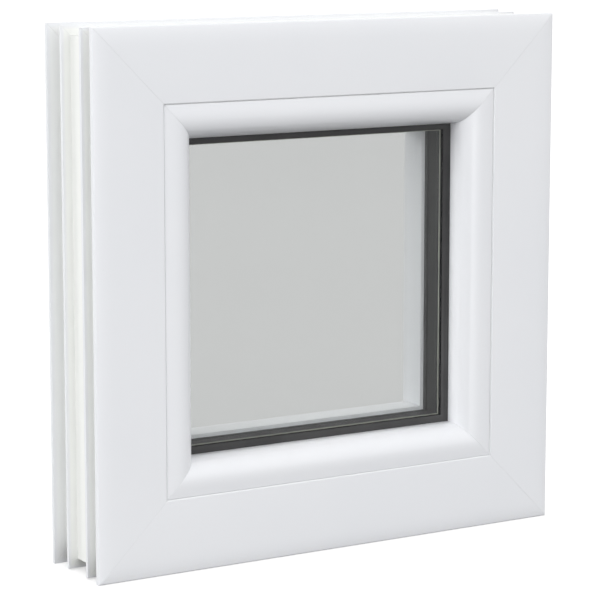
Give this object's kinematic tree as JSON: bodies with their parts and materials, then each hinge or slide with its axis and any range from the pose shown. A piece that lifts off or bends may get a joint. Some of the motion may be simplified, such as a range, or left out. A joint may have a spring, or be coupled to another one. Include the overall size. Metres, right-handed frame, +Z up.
{
  "type": "casement window",
  "caption": "Small square side-hung casement window: white plastic frame and sash with mitred corners, double glazing, black gaskets, hinges and lever handle.",
  "frame": {"origin": "middle of the window's footprint, at the underside of the frame's sill", "axes": "+Z up, +X to the hinge side as seen from outdoors, +Y from the outdoor face into the room"},
  "size_m": [0.4, 0.1386, 0.4],
  "materials": {
    "white_upvc": "smooth white extruded uPVC with a satin gloss",
    "galvanised_steel": "galvanised sheet",
    "seal_rubber": "matt black extruded rubber",
    "pale_seal": "matt pale grey soft tongue on the frame lip",
    "glass": "clear float glass with a light grey tone",
    "spacer": "matt black spacer bar",
    "sealant": "black secondary sealant",
    "block_plastic": "moulded polyamide",
    "white_metal": "white powder coat",
    "white_plastic": "moulded white plastic",
    "bright_steel": "turned steel",
    "zinc_plated": "zinc plated and passivated"
  },
  "bodies": {
    "frame": {"frame_head": "white_upvc", "frame_head_steel": "galvanised_steel", "frame_hinge_jamb": "white_upvc", "frame_hinge_jamb_steel": "galvanised_steel", "frame_lock_jamb": "white_upvc", "frame_lock_jamb_steel": "galvanised_steel", "frame_seal": "seal_rubber", "frame_sill": "white_upvc", "frame_sill_steel": "galvanised_steel", "hinge_frame_caps": "white_plastic", "hinge_frame_screws": "bright_steel", "joint_seal": "pale_seal", "keep_screws": "bright_steel", "lower_hinge_frame_leaf": "white_metal", "lower_hinge_pin": "bright_steel", "lower_hinge_washer": "block_plastic", "lower_keep": "zinc_plated", "upper_hinge_frame_leaf": "white_metal", "upper_hinge_pin": "bright_steel", "upper_hinge_washer": "block_plastic", "upper_keep": "zinc_plated"},
    "sash": {"bead_head": "white_upvc", "bead_hinge": "white_upvc", "bead_lock": "white_upvc", "bead_sill": "white_upvc", "edge_sealant": "sealant", "espagnolette_faceplate": "zinc_plated", "faceplate_screws": "bright_steel", "gearbox_case": "zinc_plated", "handle_screws": "bright_steel", "hinge_sash_caps": "white_plastic", "hinge_sash_screws": "bright_steel", "inner_glazing_gasket": "seal_rubber", "lower_hinge_sash_leaf": "white_metal", "outer_glazing_gasket": "seal_rubber", "pane_inner": "glass", "pane_outer": "glass", "rosette_cover": "white_plastic", "rosette_plate": "zinc_plated", "sash_head": "white_upvc", "sash_head_steel": "galvanised_steel", "sash_hinge_stile": "white_upvc", "sash_hinge_stile_steel": "galvanised_steel", "sash_lock_stile": "white_upvc", "sash_lock_stile_steel": "galvanised_steel", "sash_seal": "seal_rubber", "sash_sill": "white_upvc", "sash_sill_steel": "galvanised_steel", "setting_blocks": "block_plastic", "spacer_bar": "spacer", "upper_hinge_sash_leaf": "white_metal"},
    "drive_rod": {"cam_pins": "bright_steel", "cam_rollers": "zinc_plated", "drive_rod": "zinc_plated"},
    "handle": {"gear_sector": "zinc_plated", "handle_lever": "white_metal", "handle_spindle": "zinc_plated"}
  },
  "joints": [
    {"name": "sash_turn", "type": "hinge", "parent": "frame", "child": "sash", "pos_m": [0.1825, 0.01625, 0.2], "axis": [0, 0, -1], "range_deg": [0, 90]},
    {"name": "handle_turn", "type": "hinge", "parent": "sash", "child": "handle", "pos_m": [-0.1405, -0.00525, 0.2], "axis": [0, 1, 0], "range_deg": [0, 90]},
    {"name": "rod_slide", "type": "slide", "parent": "sash", "child": "drive_rod", "axis": [0, 0, 1], "range_m": [0, 0.018]}
  ],
  "couplings": [
    {"joint": "rod_slide", "follows": "handle_turn", "m_per_rad": 0.011459}
  ]
}
